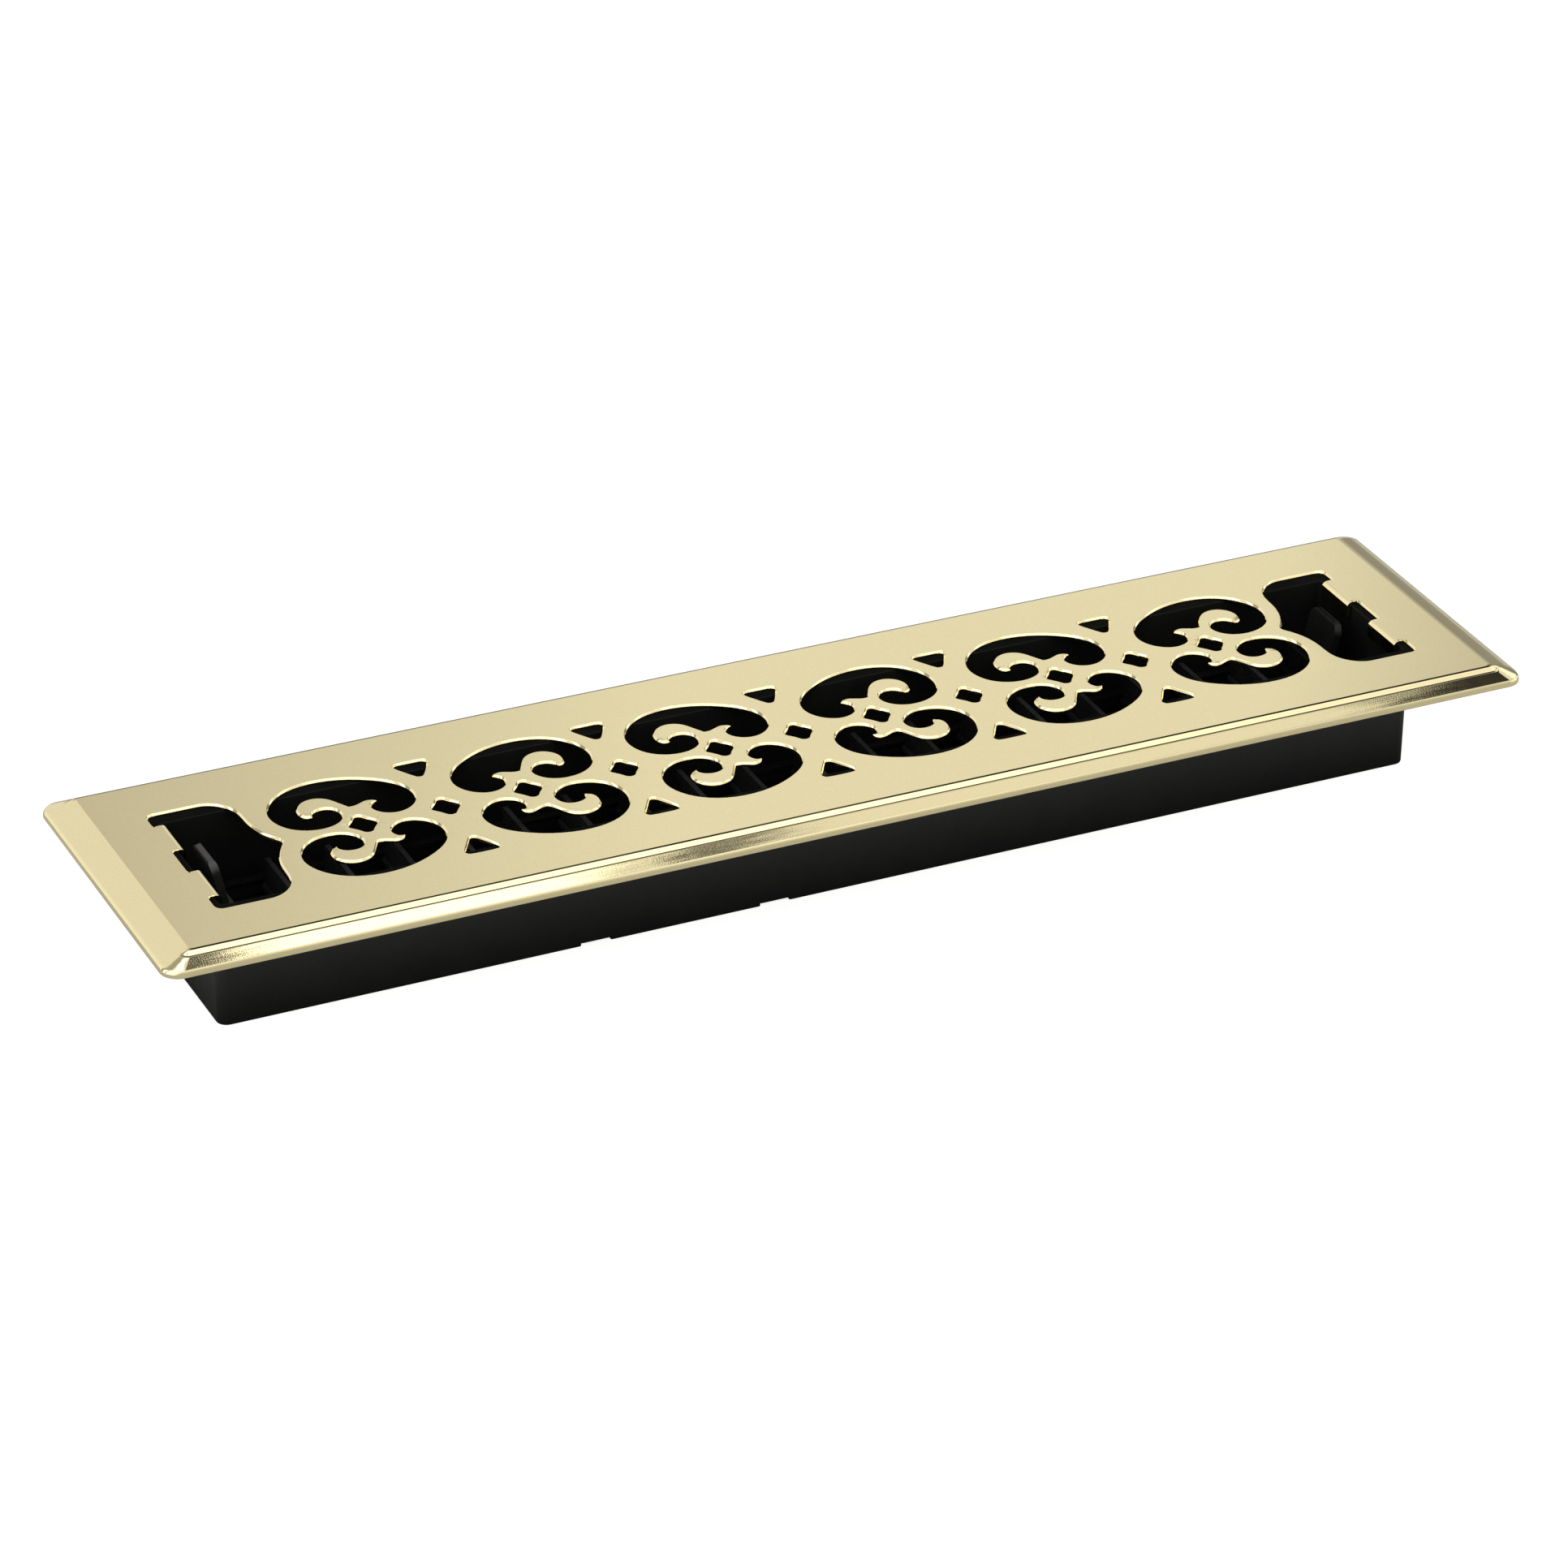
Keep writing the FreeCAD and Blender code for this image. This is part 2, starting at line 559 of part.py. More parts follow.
def build_lever(label, side):
    """The outermost vane of a bank, with a round-cornered thumb tab that stands up into the end window."""
    shaft = primitive_pin(label + "_shaft", "Sizes.shaft_radius", "Sizes.shaft_length")
    y_low = "0" if side < 0 else "-Sizes.lever_width"
    half_thick = "Sizes.lever_thick / 2"
    stem = primitive_box(label + "_stem", "Sizes.lever_thick", "Sizes.lever_width",
                         "Sizes.lever_reach - " + half_thick, "-" + half_thick, y_low, "0")
    tip = doc.addObject("Part::Cylinder", label + "_tip")
    tip.Placement.Rotation = FreeCAD.Rotation(FreeCAD.Vector(1, 0, 0), -90)
    bind(tip, Radius=half_thick, Height="Sizes.lever_width")
    bind(tip, Placement__Base__y=y_low, Placement__Base__z="Sizes.lever_reach - " + half_thick)
    square_tab = combine("Part::MultiFuse", label + "_square_tab", [stem, tip])
    front_view = new_body(label + "_front_view")
    outline = new_sketch(front_view, label + "_tab_outline", "YZ_Plane")
    low = 0.0 if side < 0 else -size("lever_width")
    high = low + size("lever_width")
    reach = size("lever_reach")
    corners = [(low, 0.0), (high, 0.0), (high, reach), (low, reach)]
    add_polygon(outline, corners, size("lever_round"), sharp=(0, 1))
    pad(front_view, outline, "2 * Sizes.lever_thick", both_ways=True)
    tab = combine("Part::MultiCommon", label + "_tab", [square_tab, front_view])
    tab.Placement.Rotation = FreeCAD.Rotation(FreeCAD.Vector(0, 1, 0), -size("lever_lean"))
    pieces = [slotted_blade(label), shaft, tab] + crank_pieces(label)
    lever = combine("Part::MultiFuse", label, pieces)
    lever.Label = label
    place_at_pivot(lever, side, VANES_PER_SIDE)
    return lever


def build_link_bar(label, side):
    """A strip along the register, snapped onto every crank pin of its bank from above."""
    body = new_body(label)
    outline = new_sketch(body, label + "_outline", "XZ_Plane")
    middle = size("axis_height") - size("crank_offset")
    pins = [side * (pivot_distance(index) - size("crank_offset")) for index in range(PIVOTS_PER_SIDE)]
    low = min(pins) - size("bar_overhang")
    high = max(pins) + size("bar_overhang")
    half_height = size("bar_height") / 2
    corners = [(low, middle - half_height), (high, middle - half_height)]
    corners += [(high, middle + half_height), (low, middle + half_height)]
    add_polygon(outline, corners, 1.0)
    pad(body, outline, "Sizes.bar_thick", both_ways=True)

    holes = new_sketch(body, label + "_pin_holes", "XZ_Plane", "-Sizes.box_wall")
    radius = size("crank_pin") + size("running_gap")
    half_snap = size("snap_width") / 2
    drop = math.sqrt(radius ** 2 - half_snap ** 2)
    for pin in pins:
        lip_y = middle - drop
        bottom = middle - half_height - 1
        left = FreeCAD.Vector(pin - half_snap, lip_y, 0)
        right = FreeCAD.Vector(pin + half_snap, lip_y, 0)
        crown = FreeCAD.Vector(pin, middle + radius, 0)
        low_right = FreeCAD.Vector(pin + half_snap, bottom, 0)
        low_left = FreeCAD.Vector(pin - half_snap, bottom, 0)
        holes.addGeometry(Part.Arc(right, crown, left), False)
        holes.addGeometry(Part.LineSegment(left, low_left), False)
        holes.addGeometry(Part.LineSegment(low_left, low_right), False)
        holes.addGeometry(Part.LineSegment(low_right, right), False)
    cut(body, holes, "4 * Sizes.bar_thick", upwards=True)
    return body


# ---------------------------------------------------------------- the whole register

sub_parts = [build_faceplate(), build_damper_box()]
sub_parts.append(build_bearing_rail("bearing_rail_front", -1))
sub_parts.append(build_bearing_rail("bearing_rail_rear", 1))
for side_name, side in (("left", -1), ("right", 1)):
    sub_parts.append(build_lever("lever_" + side_name, side))
    sub_parts.append(build_link_bar("link_bar_" + side_name, side))
    for index in range(VANES_PER_SIDE):
        sub_parts.append(build_vane("vane_%s_%d" % (side_name, index + 1), side, index))

doc.recompute()

for item in doc.Objects:
    if "Invalid" in item.State or "Error" in item.State:
        raise RuntimeError("%s failed: %s" % (item.Name, item.State))
faulty = [item.Label for item in sub_parts if item.Shape.isNull() or not item.Shape.isValid()]
if faulty:
    raise RuntimeError("no valid shape: " + ", ".join(faulty))

os.makedirs("parts", exist_ok=True)
for item in sub_parts:
    item.Shape.exportStep(os.path.join("parts", item.Label + ".step"))
    print("%-20s solids %d  volume %.1f" % (item.Label, len(item.Shape.Solids), item.Shape.Volume))
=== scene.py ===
"""Looks of the brass floor register: a pierced, folded brass plate over a black plastic louvre damper."""
import math

import bmesh
import bpy
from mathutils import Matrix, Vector, kdtree


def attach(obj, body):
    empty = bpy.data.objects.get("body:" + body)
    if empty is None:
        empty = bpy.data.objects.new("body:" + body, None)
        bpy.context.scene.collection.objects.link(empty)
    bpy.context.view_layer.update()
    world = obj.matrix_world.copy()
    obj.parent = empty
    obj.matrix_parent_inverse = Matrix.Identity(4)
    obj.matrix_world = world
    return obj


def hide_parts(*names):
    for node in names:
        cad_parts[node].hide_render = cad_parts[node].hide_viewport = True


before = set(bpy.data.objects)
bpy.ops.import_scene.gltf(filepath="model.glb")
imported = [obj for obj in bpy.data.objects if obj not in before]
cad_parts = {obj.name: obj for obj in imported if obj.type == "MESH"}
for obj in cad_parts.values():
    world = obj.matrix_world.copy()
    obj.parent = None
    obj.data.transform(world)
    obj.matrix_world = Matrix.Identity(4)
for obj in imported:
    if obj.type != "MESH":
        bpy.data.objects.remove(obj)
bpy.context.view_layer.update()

MM = 0.001

# Sizes of the plate, in millimetres, as the CAD model has them.
PLATE_LENGTH = 393.7
PLATE_WIDTH = 95.25
PLATE_CORNER = 5.0
END_BORDER = 8.5
SIDE_BORDER = 5.8
FLAT_CORNER = 1.0
SHEET = 1.1
TAB_BEND_START = 172.8
TAB_ROOT = 174.5
TAB_INNER = 5.8
TAB_OUTER = 19.8

# Sizes of the stamped plate's soft edges, in millimetres.
SHOULDER = 0.55
SHOULDER_TAPER = 0.35
# The shoulder round every opening from the flat to the wall, as (share in from the wall, share down), and
# how far the wall itself is drawn back into the metal, all as shares of the shoulder's size.
SHOULDER_ROWS = [(1.0, 0.0), (0.88, 0.03), (0.76, 0.11), (0.48, 0.43), (0.20, 0.75), (0.07, 0.89), (0.0, 1.0)]
DRAWN_BACK = 0.45
LOOP_STEP = 1.2
NOTCH_ROUND = 1.8
CORNER_STEPS = 8
SHARP_TURN = math.radians(50)
SAME_POINT = 0.002

# The long sides' border from the flat's edge outwards and down round the lip, as (distance out, drop below
# the flat, painted shade) in millimetres: a crease, a bead, a valley, a broad face, then the rolled lip. The
# crease and the valley are darkened with painted shade, which stands in for their shade, from 0 for none to
# 1.
BORDER_ROWS = [
    (0.00, 0.00, 0.0), (0.04, 0.01, 1.0), (0.25, 0.05, 1.0), (0.52, 0.11, 1.0), (0.62, 0.15, 0.6),
    (0.74, 0.22, 0.0), (1.00, 0.45, 0.0), (1.30, 0.73, 0.0), (1.55, 0.95, 0.0), (1.65, 1.02, 0.1),
    (1.72, 1.05, 0.7), (1.92, 1.09, 0.8), (2.14, 1.14, 0.4), (2.26, 1.19, 0.1), (2.60, 1.36, 0.0),
    (3.40, 1.77, 0.0), (4.40, 2.28, 0.0), (5.20, 2.69, 0.0), (5.30, 2.73, 0.2), (5.40, 2.78, 0.3),
    (5.46, 2.84, 0.1), (5.54, 2.96, 0.0), (5.62, 3.12, 0.0), (5.70, 3.32, 0.0), (5.76, 3.54, 0.0),
    (5.79, 3.70, 0.0), (5.80, 3.86, 0.0), (5.80, 4.50, 0.0), (5.74, 4.68, 0.0), (5.60, 4.80, 0.0),
]
# The broad face, which the press leaves uneven.
UNEVEN_FROM = 2.2
UNEVEN_TO = 5.45
# At the ends the border is a plain slope as far as the lip's roll, and at the right end a softer roll.
PLAIN_SLOPE = 2.88
SOFT_ROLL = 1.8
PLAIN_REACH = 0.91
LIP_INSIDE = [(1.05, 4.74), (SHEET, 3.90)]
INSIDE_FOLD = -0.09


def node(name):
    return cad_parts[name]


def link(name, mesh):
    """A new piece at the origin of the row frame."""
    piece = bpy.data.objects.new(name, mesh)
    bpy.context.scene.collection.objects.link(piece)
    return piece


# Outlines of the flat and its openings


def welded_copy(source):
    """The node's surface with its split corners joined again, in a bmesh of its own."""
    shape = bmesh.new()
    shape.from_mesh(source.data)
    bmesh.ops.remove_doubles(shape, verts=shape.verts, dist=SAME_POINT * MM)
    return shape


def flat_outlines(shape):
    """Every outline of the flat, in order, with the metal on the left-hand side. Millimetres."""
    top = max(corner.co.z for corner in shape.verts)
    flat = {
        face for face in shape.faces
        if face.normal.z > 0.999 and all(abs(corner.co.z - top) < 0.001 * MM for corner in face.verts)
    }
    following = {}
    for face in flat:
        for side in face.loops:
            if all(other in flat for other in side.edge.link_faces):
                continue
            following[side.vert] = side.link_loop_next.vert
    outlines = []
    while following:
        corner = next(iter(following))
        outline = []
        while corner in following:
            outline.append(Vector((corner.co.x / MM, corner.co.y / MM)))
            corner = following.pop(corner)
        outlines.append(outline)
    return outlines


def beside_tab(point):
    """True within a tab's width, on either side of the middle."""
    return TAB_INNER - 0.05 < abs(point.y) < TAB_OUTER + 0.05


def on_tab(point):
    """True where a bent tab grows out of the flat, so that the edge there is no opening's edge."""
    return beside_tab(point) and TAB_BEND_START - 0.05 < abs(point.x) < TAB_ROOT - 0.3


def turn_at(outline, index):
    """How far the outline turns at a point; left is positive."""
    before = outline[index] - outline[index - 1]
    after = outline[(index + 1) % len(outline)] - outline[index]
    return math.atan2(before.cross(after), before.dot(after))


def rounded(outline):
    """The outline with its square corners rounded, apart from those of the tabs."""
    result = []
    for index, point in enumerate(outline):
        turn = turn_at(outline, index)
        before = outline[index - 1] - point
        after = outline[(index + 1) % len(outline)] - point
        reach = NOTCH_ROUND * math.tan(abs(turn) / 2)
        if abs(turn) < SHARP_TURN or on_tab(point) or min(before.length, after.length) < 1.2 * reach:
            result.append(point)
            continue
        if abs(point.x) > TAB_ROOT - 0.1 and beside_tab(point):
            result.append(point)
            continue
        begin = point + before.normalized() * reach
        end = point + after.normalized() * reach
        for step in range(CORNER_STEPS + 1):
            share = step / CORNER_STEPS
            near = begin.lerp(point, share)
            far = point.lerp(end, share)
            result.append(near.lerp(far, share))
    return result


def stepped(outline):
    """The outline with long straight stretches divided and points that nearly meet left out."""
    result = []
    for index, point in enumerate(outline):
        after = outline[(index + 1) % len(outline)]
        length = (after - point).length
        if length < 0.01:
            continue
        pieces = max(1, math.ceil(length / LOOP_STEP))
        result.extend(point.lerp(after, piece / pieces) for piece in range(pieces))
    return result


def metal_normals(outline):
    """At every point, the way into the metal and the mitre that keeps an inset parallel."""
    normals = []
    for index, point in enumerate(outline):
        before = (point - outline[index - 1]).normalized()
        after = (outline[(index + 1) % len(outline)] - point).normalized()
        left = Vector((-before.y, before.x)) + Vector((-after.y, after.x))
        half_turn = turn_at(outline, index) / 2
        normals.append(left.normalized() / max(0.7, math.cos(half_turn)))
    return normals


def shoulder_radii(outlines, all_normals):
    """The rounding of every edge point, made smaller where the metal is narrow or comes to a point."""
    total = sum(len(outline) for outline in outlines)
    tree = kdtree.KDTree(total)
    directions = []
    for outline, normals in zip(outlines, all_normals):
        for point, normal in zip(outline, normals):
            tree.insert(point.to_3d(), len(directions))
            directions.append(normal)
    tree.balance()
    radii = []
    for outline, normals in zip(outlines, all_normals):
        count = len(outline)
        row = [SHOULDER] * count
        for index, point in enumerate(outline):
            if on_tab(point):
                row[index] = 0.0
                continue
            for _, other, distance in tree.find_range(point.to_3d(), 3.3 * SHOULDER):
                if normals[index].dot(directions[other]) < -0.2:
                    row[index] = min(row[index], 0.3 * distance)
        for index, point in enumerate(outline):
            after = (index + 1) % count
            bend = math.tan(turn_at(outline, index) / 2) + math.tan(turn_at(outline, after) / 2)
            if bend > 0.001:
                limit = 0.55 * (outline[after] - point).length / bend
                row[index] = min(row[index], limit)
                row[after] = min(row[after], limit)
        for _ in range(2):
            for index in list(range(count)) + list(range(count))[::-1]:
                for other in (index - 1, (index + 1) % count):
                    gap = (outline[other] - outline[index]).length
                    row[index] = min(row[index], row[other] + SHOULDER_TAPER * gap)
        radii.append(row)
    return radii


# Faces


def ring(shape, points):
    """A closed row of corners, in metres."""
    return [shape.verts.new(Vector(point) * MM) for point in points]


def bridge(shape, first, second, left_out=()):
    """Faces between two rows of corners of the same length."""
    count = len(first)
    for index in range(count):
        after = (index + 1) % count
        if index in left_out:
            continue
        corners = (first[index], first[after], second[after], second[index])
        kept = list(dict.fromkeys(corners))
        shape.faces.new(kept)


def fill(shape, rows, upwards):
    """A flat sheet of faces between closed rows of corners."""
    edges = []
    for row in rows:
        for index, corner in enumerate(row):
            other = row[(index + 1) % len(row)]
            edges.append(shape.edges.get((corner, other)) or shape.edges.new((corner, other)))
    made = bmesh.ops.triangle_fill(
        shape, use_beauty=True, use_dissolve=False, edges=edges, normal=(0, 0, 1 if upwards else -1)
    )
    for face in made["geom"]:
        if isinstance(face, bmesh.types.BMFace) and (face.normal.z > 0) != upwards:
            face.normal_flip()


def ring_angle(index):
    """Which way a row's corner faces, by its place in the row; 0 is towards the right end."""
    quarter, step = divmod(index, CORNER_STEPS + 1)
    return math.radians(90 * (quarter + step / CORNER_STEPS))


def plate_ring(shape, end_inset, side_inset, corner, end_heights, side_height):
    """One row round the plate, anticlockwise from above, with its heights at the left and right ends and
    along the sides; at the corners it goes over from one to the other."""
    points = []
    for index in range(4 * (CORNER_STEPS + 1)):
        angle = ring_angle(index)
        across, along = ((1, 1), (-1, 1), (-1, -1), (1, -1))[index // (CORNER_STEPS + 1)]
        x = across * (PLATE_LENGTH / 2 - end_inset - corner) + corner * math.cos(angle)
        y = along * (PLATE_WIDTH / 2 - side_inset - corner) + corner * math.sin(angle)
        side = math.sin(angle) ** 2
        points.append((x, y, side_height * side + end_heights[across > 0] * (1 - side)))
    return ring(shape, points)


def border_ring(shape, out, end_heights, side_height):
    """One row round the border, a share of the way out from the flat."""
    inset = 1 - out
    corner = PLATE_CORNER + (FLAT_CORNER - PLATE_CORNER) * inset
    return plate_ring(shape, END_BORDER * inset, SIDE_BORDER * inset, corner, end_heights, side_height)


def build_faceplate():
    """The pierced plate again with rounded shoulders, a swelling border and a rolled lip."""
    source = welded_copy(node("faceplate"))
    top = max(corner.co.z for corner in source.verts) / MM
    under = top - SHEET
    outlines = flat_outlines(source)
    outlines.sort(key=lambda outline: -max(point.x for point in outline))
    openings = [stepped(rounded(outline)) for outline in outlines[1:]]
    normals = [metal_normals(outline) for outline in openings]
    radii = shoulder_radii(openings, normals)

    shape = bmesh.new()
    # One layer for the painted shade that darkens the border's crease and valley, one for where the press
    # left the face uneven.
    painted_shade = shape.verts.layers.float.new("painted_shade")
    pressed = shape.verts.layers.float.new("pressed")
    upper_rows = []
    under_rows = []
    for outline, ways, row in zip(openings, normals, radii):
        count = len(outline)
        left_out = {
            index for index in range(count)
            if on_tab(outline[index]) and on_tab(outline[(index + 1) % count])
        }
        last = None
        for inwards, down in SHOULDER_ROWS:
            points = []
            for point, way, radius in zip(outline, ways, row):
                moved = point + way * radius * (DRAWN_BACK + inwards)
                points.append((moved.x, moved.y, top - radius * down))
            current = ring(shape, points)
            if last:
                bridge(shape, last, current, left_out)
            else:
                upper_rows.append(current)
            last = current
        foot = [point + way * radius * DRAWN_BACK for point, way, radius in zip(outline, ways, row)]
        wall = ring(shape, [(point.x, point.y, under) for point in foot])
        bridge(shape, last, wall, left_out)
        under_rows.append(wall)

    last = None
    for distance, drop, shade_share in BORDER_ROWS:
        out = distance / SIDE_BORDER
        left_drop = drop if out > PLAIN_REACH else PLAIN_SLOPE * out
        right_drop = drop if out > PLAIN_REACH else PLAIN_SLOPE * out ** SOFT_ROLL
        current = border_ring(shape, out, (top - left_drop, top - right_drop), top - drop)
        uneven = 1.0 if UNEVEN_FROM < distance < UNEVEN_TO else 0.0
        for index, corner in enumerate(current):
            side = math.sin(ring_angle(index)) ** 2
            # Painted shade for the crease and the valley, on the long sides only.
            corner[painted_shade] = shade_share * side
            corner[pressed] = uneven * side
        if last:
            bridge(shape, last, current)
        else:
            upper_rows.insert(0, current)
        last = current
    for inset, drop in LIP_INSIDE:
        height = top - drop
        current = plate_ring(shape, inset, inset, PLATE_CORNER - inset, (height, height), height)
        bridge(shape, last, current)
        last = current
    fold = border_ring(shape, INSIDE_FOLD, (under, under), under)
    bridge(shape, last, fold)
    under_rows.insert(0, fold)

    fill(shape, upper_rows, True)
    fill(shape, under_rows, False)
    add_tabs(shape, source, top)
    source.free()
    bmesh.ops.remove_doubles(shape, verts=shape.verts, dist=SAME_POINT * MM)
    bmesh.ops.dissolve_degenerate(shape, edges=shape.edges, dist=0.001 * MM)
    bmesh.ops.recalc_face_normals(shape, faces=shape.faces)
    for face in shape.faces:
        face.smooth = True
    for edge in shape.edges:
        edge.smooth = edge.calc_face_angle(0) < SHARP_TURN
    mesh = bpy.data.meshes.new("faceplate_shell")
    shape.to_mesh(mesh)
    shape.free()
    return link("faceplate_shell", mesh)


def add_tabs(shape, source, top):
    """The bent tabs' faces, taken over as the CAD model has them."""
    copies = {}
    for face in source.faces:
        middle = face.calc_center_median() / MM
        tab_height = middle.z < top - 0.0005
        tab_length = TAB_BEND_START - 2 < abs(middle.x) < TAB_ROOT
        lies_flat = abs(face.normal.z) > 0.999 and middle.z > top - SHEET - 0.01
        if not (tab_height and tab_length and beside_tab(middle)) or lies_flat:
            continue
        corners = []
        for corner in face.verts:
            if corner not in copies:
                copies[corner] = shape.verts.new(corner.co)
            corners.append(copies[corner])
        shape.faces.new(corners)


# Materials


class Shader:
    """A material's node tree with short ways of adding and joining nodes."""

    def __init__(self, name):
        self.material = bpy.data.materials.new(name)
        self.material.use_nodes = True
        self.tree = self.material.node_tree
        self.surface = self.tree.nodes["Principled BSDF"]
        self.place = self.add("ShaderNodeTexCoord").outputs["Object"]

    def add(self, kind, **settings):
        made = self.tree.nodes.new(kind)
        for name, value in settings.items():
            setattr(made, name, value)
        return made

    def join(self, start, end):
        self.tree.links.new(start, end)

    def noise(self, scale, detail=2.0, stretch=(1, 1, 1)):
        mapping = self.add("ShaderNodeMapping")
        mapping.inputs["Scale"].default_value = stretch
        self.join(self.place, mapping.inputs["Vector"])
        noise = self.add("ShaderNodeTexNoise")
        noise.inputs["Scale"].default_value = scale
        noise.inputs["Detail"].default_value = detail
        self.join(mapping.outputs["Vector"], noise.inputs["Vector"])
        return noise.outputs["Fac"]

    def ramp(self, value, stops):
        ramp = self.add("ShaderNodeValToRGB")
        elements = ramp.color_ramp.elements
        while len(elements) < len(stops):
            elements.new(0.5)
        for element, (position, colour) in zip(elements, stops):
            element.position = position
            element.color = (*colour, 1.0)
        self.join(value, ramp.inputs["Fac"])
        return ramp.outputs["Color"]

    def spread(self, value, low, high):
        """The value's 0 to 1 spread over low to high."""
        spread = self.add("ShaderNodeMapRange")
        spread.inputs["To Min"].default_value = low
        spread.inputs["To Max"].default_value = high
        self.join(value, spread.inputs["Value"])
        return spread.outputs["Result"]

    def scaled(self, value, factor):
        product = self.add("ShaderNodeMath", operation="MULTIPLY", use_clamp=True)
        self.join(value, product.inputs[0])
        self.join(factor, product.inputs[1])
        return product.outputs["Value"]

    def attribute(self, name):
        return self.add("ShaderNodeAttribute", attribute_name=name).outputs["Fac"]

    def along(self, vector, axis):
        """One part of a vector."""
        parts = self.add("ShaderNodeSeparateXYZ")
        self.join(vector, parts.inputs["Vector"])
        return parts.outputs[axis]

    def bumps(self, layers):
        """Bumps stacked from (height, distance in metres, strength) layers."""
        last = None
        for height, distance, strength in layers:
            bump = self.add("ShaderNodeBump")
            bump.inputs["Distance"].default_value = distance
            bump.inputs["Strength"].default_value = strength
            self.join(height, bump.inputs["Height"])
            if last:
                self.join(last, bump.inputs["Normal"])
            last = bump.outputs["Normal"]
        self.join(last, self.surface.inputs["Normal"])


def brass_material():
    """Bright brass plating: fine grain, painted shade in the creases, and streaks where the press left it
    uneven.
    """
    brass = Shader("brass_plate")
    grain = brass.noise(2600, 2)
    tint = brass.ramp(grain, [(0.25, (0.84, 0.73, 0.415)), (0.75, (0.91, 0.80, 0.48))])
    # Painted shade: the crease and the valley go towards near black, a little unevenly, standing in for their
    # shade.
    shade_factor = brass.scaled(brass.attribute("painted_shade"), brass.spread(brass.noise(60, 2, (0.4, 1, 1)), 0.75, 1.15))
    colour = brass.add("ShaderNodeMix", data_type="RGBA")
    brass.join(shade_factor, colour.inputs["Factor"])
    brass.join(tint, colour.inputs["A"])
    colour.inputs["B"].default_value = (0.020, 0.015, 0.005, 1)
    brass.join(colour.outputs["Result"], brass.surface.inputs["Base Color"])
    brass.surface.inputs["Metallic"].default_value = 1.0
    brass.join(brass.spread(brass.noise(240, 4), 0.03, 0.055), brass.surface.inputs["Roughness"])
    waves = brass.noise(14, 1.5, (0.6, 1, 1))
    streaks = brass.scaled(brass.noise(400, 2, (0.06, 1.0, 1.0)), brass.attribute("pressed"))
    brass.bumps([(waves, 0.0010, 0.03), (streaks, 0.00010, 0.9), (grain, 0.00002, 0.12)])
    return brass.material


def plastic_material(name, dark, light, top_shine, inside_shine):
    """Moulded plastic with a fine even texture. Its shine carries painted shade: faces that look up are
    duller, as are those that look inwards and those low down, standing in for the shade under the plate,
    inside the box and on the floor."""
    plastic = Shader(name)
    tint = plastic.ramp(plastic.noise(90, 3), [(0.35, dark), (0.65, light)])
    plastic.join(tint, plastic.surface.inputs["Base Color"])
    plastic.join(plastic.spread(plastic.noise(160, 3), 0.42, 0.52), plastic.surface.inputs["Roughness"])
    # Painted shade: less shine on faces that look up and on faces that look inwards.
    normal = plastic.add("ShaderNodeNewGeometry").outputs["Normal"]
    level = plastic.add("ShaderNodeVectorMath", operation="MULTIPLY")
    level.inputs[1].default_value = (1, 1, 0)
    plastic.join(normal, level.inputs[0])
    outwards = plastic.add("ShaderNodeVectorMath", operation="DOT_PRODUCT")
    plastic.join(level.outputs["Vector"], outwards.inputs[0])
    plastic.join(plastic.place, outwards.inputs[1])
    is_outside = plastic.add("ShaderNodeMath", operation="GREATER_THAN")
    is_outside.inputs[1].default_value = MM
    plastic.join(outwards.outputs["Value"], is_outside.inputs[0])
    # Painted shade: less shine towards the bottom, standing in for the shadowed floor the plastic reflects.
    rise = plastic.add("ShaderNodeMapRange")
    rise.inputs["From Max"].default_value = 0.030
    rise.inputs["To Min"].default_value = 0.3
    rise.inputs["To Max"].default_value = 1.4
    plastic.join(plastic.along(plastic.place, "Z"), rise.inputs["Value"])
    shine = plastic.scaled(plastic.spread(plastic.along(normal, "Z"), 0.5, top_shine), rise.outputs["Result"])
    shine = plastic.scaled(shine, plastic.spread(is_outside.outputs["Value"], inside_shine, 1.0))
    plastic.join(shine, plastic.surface.inputs["Specular IOR Level"])
    texture = plastic.noise(1500, 3)
    flow = plastic.noise(45, 2, (1, 1, 0.3))
    plastic.bumps([(flow, 0.0010, 0.05), (texture, 0.00006, 0.5)])
    return plastic.material


def dress(piece, material):
    piece.data.materials.clear()
    piece.data.materials.append(material)


def soften(piece, width, segments):
    """Small rounded edges on a CAD node, as moulded plastic has them."""
    weld = piece.modifiers.new("weld", "WELD")
    weld.merge_threshold = SAME_POINT * MM
    edges = piece.modifiers.new("edges", "BEVEL")
    edges.width = width * MM
    edges.segments = segments
    edges.limit_method = "ANGLE"
    edges.angle_limit = math.radians(35)
    edges.use_clamp_overlap = True
    even_out(piece)


def even_out(piece):
    """Keeps large faces flat while the small ones between them shade round."""
    for face in piece.data.polygons:
        face.use_smooth = True
    normals = piece.modifiers.new("normals", "WEIGHTED_NORMAL")
    normals.mode = "FACE_AREA"
    normals.weight = 100
    normals.keep_sharp = True


# The model

shell = build_faceplate()
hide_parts("faceplate")
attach(shell, "register_frame")
dress(shell, brass_material())
even_out(shell)

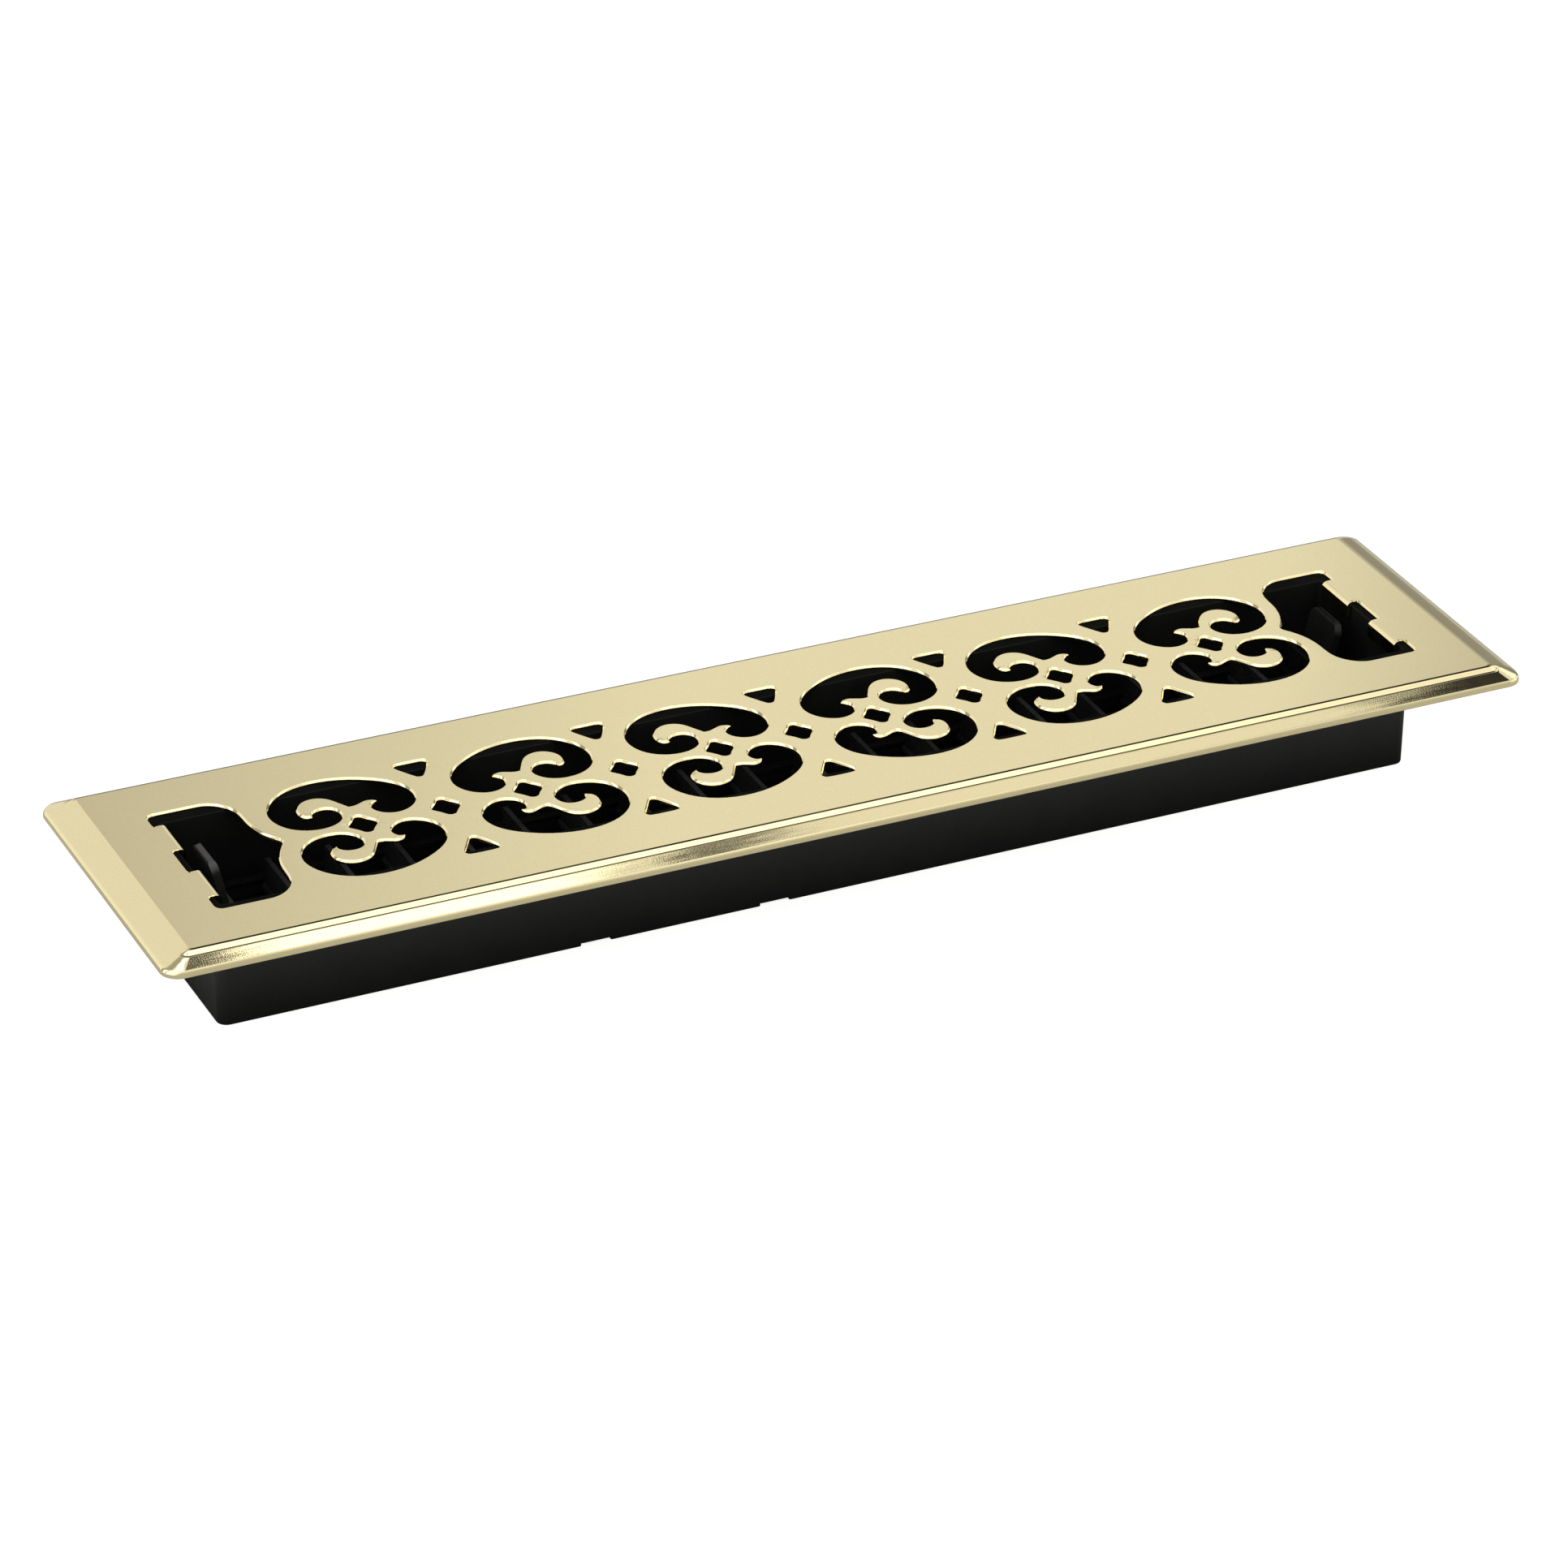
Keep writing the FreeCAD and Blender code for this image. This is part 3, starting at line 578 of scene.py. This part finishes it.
# The last two numbers set the painted shade in the shine, on faces that look up and on faces that look
# inwards.
box_plastic = plastic_material("black_plastic", (0.0035, 0.0038, 0.0036), (0.0055, 0.0056, 0.005), 0.0, 0.25)
moving_plastic = plastic_material("dark_plastic", (0.007, 0.007, 0.007), (0.011, 0.011, 0.0105), 0.4, 1.0)
for name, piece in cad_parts.items():
    if name == "faceplate":
        continue
    moves = name.startswith(("lever", "vane", "link"))
    # The right lever takes the darker box plastic: painted shade, standing in for the shade it lies in.
    dress(piece, moving_plastic if moves and name != "lever_right" else box_plastic)
    soften(piece, 0.25 if moves else 0.4, 2)


# Studio

FLOOR_BOUNCE = (0.38, 0.38, 0.37)
FLOOR_SEEN = (0.45, 0.45, 0.45)
FLOOR_GLOW = 0.84
# Brightness of the walls behind the object by direction (sideways over depth), from left to right.
BACK_WALL = [
    (-1.0, 1.1), (-0.4, 1.0), (-0.15, 0.88), (0.15, 0.86), (0.33, 0.60), (0.46, 0.88), (0.60, 0.88),
    (0.66, 0.62), (0.78, 0.32),
]
# Brightness of the panel overhead by how far it lies to the right.
PANEL = [
    (0.270, 0.90), (0.284, 0.05), (0.2955, 0.05), (0.2995, 2.00), (0.350, 2.00), (0.355, 0.20), (0.361, 1.60),
    (0.366, 0.08), (0.374, 0.08), (0.382, 0.92), (0.467, 0.92), (0.473, 0.03), (0.520, 0.03), (0.540, 0.90),
]
# Share of the ceiling's brightness by how far it lies to the right.
CEILING_FALL = [(0.25, 1.0), (0.40, 0.95), (0.48, 0.62)]
# Brightness overhead from front to back; the dim strip lies between the panel and the back wall.
CEILING = [
    (-0.95, 0.6), (-0.70, 1.6), (-0.35, 1.7), (-0.15, 2.6), (0.30, 2.4), (0.42, 0.42),
    (0.58, 0.42), (0.66, 0.7),
]


def add_floor():
    """A pale floor that shows white to the camera and only throws a little light back on the object. Seen
    from below it is clear, so that the underside can be looked at."""
    bpy.ops.mesh.primitive_plane_add(size=12)
    floor = bpy.context.object
    floor.name = "floor"
    pale = Shader("floor")
    pale.surface.inputs["Roughness"].default_value = 0.9
    pale.surface.inputs["Specular IOR Level"].default_value = 0.0
    path = pale.add("ShaderNodeLightPath").outputs["Is Camera Ray"]
    pale.join(pale.ramp(path, [(0.0, FLOOR_BOUNCE), (1.0, FLOOR_SEEN)]), pale.surface.inputs["Base Color"])
    glow = pale.add("ShaderNodeMath", operation="MULTIPLY")
    glow.inputs[1].default_value = FLOOR_GLOW
    pale.join(path, glow.inputs[0])
    pale.surface.inputs["Emission Color"].default_value = (1, 1, 1, 1)
    pale.join(glow.outputs["Value"], pale.surface.inputs["Emission Strength"])
    clear = pale.add("ShaderNodeBsdfTransparent")
    mix = pale.add("ShaderNodeMixShader")
    pale.join(pale.add("ShaderNodeNewGeometry").outputs["Backfacing"], mix.inputs["Fac"])
    pale.join(pale.surface.outputs["BSDF"], mix.inputs[1])
    pale.join(clear.outputs["BSDF"], mix.inputs[2])
    pale.join(mix.outputs["Shader"], pale.tree.nodes["Material Output"].inputs["Surface"])
    dress(floor, pale.material)


def add_lamp(name, place, target, size, power):
    lamp = bpy.data.lights.new(name, "AREA")
    lamp.shape = "RECTANGLE"
    lamp.size, lamp.size_y = size
    lamp.energy = power
    holder = bpy.data.objects.new(name, lamp)
    holder.location = place
    holder.rotation_euler = (Vector(target) - Vector(place)).to_track_quat("-Z", "Y").to_euler()
    holder.visible_glossy = False
    bpy.context.scene.collection.objects.link(holder)


def set_world():
    """A studio of soft panels: a graded back wall, a ceiling, and a panel above the object."""
    world = bpy.data.worlds.new("studio")
    bpy.context.scene.world = world
    world.use_nodes = True
    tree = world.node_tree

    def brightness(value, stops):
        """The value read off a smooth curve through (place, brightness) stops."""
        low, high = stops[0][0], stops[-1][0]
        top = max(level for _, level in stops)
        share = tree.nodes.new("ShaderNodeMapRange")
        share.inputs["From Min"].default_value = low
        share.inputs["From Max"].default_value = high
        tree.links.new(value, share.inputs["Value"])
        curve = tree.nodes.new("ShaderNodeValToRGB")
        elements = curve.color_ramp.elements
        while len(elements) < len(stops):
            elements.new(0.5)
        for element, (position, level) in zip(elements, stops):
            element.position = (position - low) / (high - low)
            element.color = (level / top, level / top, level / top, 1.0)
        tree.links.new(share.outputs["Result"], curve.inputs["Fac"])
        scaled = tree.nodes.new("ShaderNodeMath")
        scaled.operation = "MULTIPLY"
        scaled.inputs[1].default_value = top
        tree.links.new(curve.outputs["Color"], scaled.inputs[0])
        return scaled.outputs["Value"]

    def mixed(weight, first, second):
        mix = tree.nodes.new("ShaderNodeMix")
        tree.links.new(weight, mix.inputs["Factor"])
        tree.links.new(first, mix.inputs["A"])
        tree.links.new(second, mix.inputs["B"])
        return mix.outputs["Result"]

    direction = tree.nodes.new("ShaderNodeTexCoord")
    parts = tree.nodes.new("ShaderNodeSeparateXYZ")
    tree.links.new(direction.outputs["Generated"], parts.inputs["Vector"])
    sideways = tree.nodes.new("ShaderNodeMath")
    sideways.operation = "DIVIDE"
    tree.links.new(parts.outputs["X"], sideways.inputs[0])
    tree.links.new(parts.outputs["Y"], sideways.inputs[1])
    back = brightness(sideways.outputs["Value"], BACK_WALL)
    panel = brightness(parts.outputs["X"], PANEL)
    ceiling = tree.nodes.new("ShaderNodeMath")
    ceiling.operation = "MULTIPLY"
    tree.links.new(brightness(parts.outputs["Y"], CEILING), ceiling.inputs[0])
    tree.links.new(brightness(parts.outputs["X"], CEILING_FALL), ceiling.inputs[1])
    on_panel = brightness(parts.outputs["Y"], [(-0.10, 0), (-0.02, 1), (0.15, 1), (0.21, 0)])
    on_back = brightness(parts.outputs["Y"], [(0.60, 0), (0.66, 1)])
    above = mixed(on_back, mixed(on_panel, ceiling.outputs["Value"], panel), back)
    over_floor = brightness(parts.outputs["Z"], [(-0.10, 0), (-0.02, 1)])
    light = mixed(over_floor, brightness(parts.outputs["Z"], [(-1, 0.95), (1, 0.95)]), above)
    tree.links.new(light, tree.nodes["Background"].inputs["Color"])


CAMERA_PLACE = (-0.6459, -1.3198, 0.8340)
CAMERA_ANGLES = (61.000, -0.955, -25.405)
CAMERA_LENS = 144.3


def add_camera():
    """The viewpoint: in front on the left and above, with a long lens."""
    camera = bpy.data.cameras.new("camera")
    camera.sensor_width = 36
    camera.lens = CAMERA_LENS
    camera.clip_end = 50
    holder = bpy.data.objects.new("camera", camera)
    holder.location = CAMERA_PLACE
    holder.rotation_euler = [math.radians(angle) for angle in CAMERA_ANGLES]
    bpy.context.scene.collection.objects.link(holder)
    bpy.context.scene.camera = holder


add_floor()
set_world()
add_lamp("overhead", (0.2, -0.2, 1.8), (0, 0, 0), (1.6, 0.8), 5)
add_camera()
bpy.context.scene.view_settings.view_transform = "Standard"
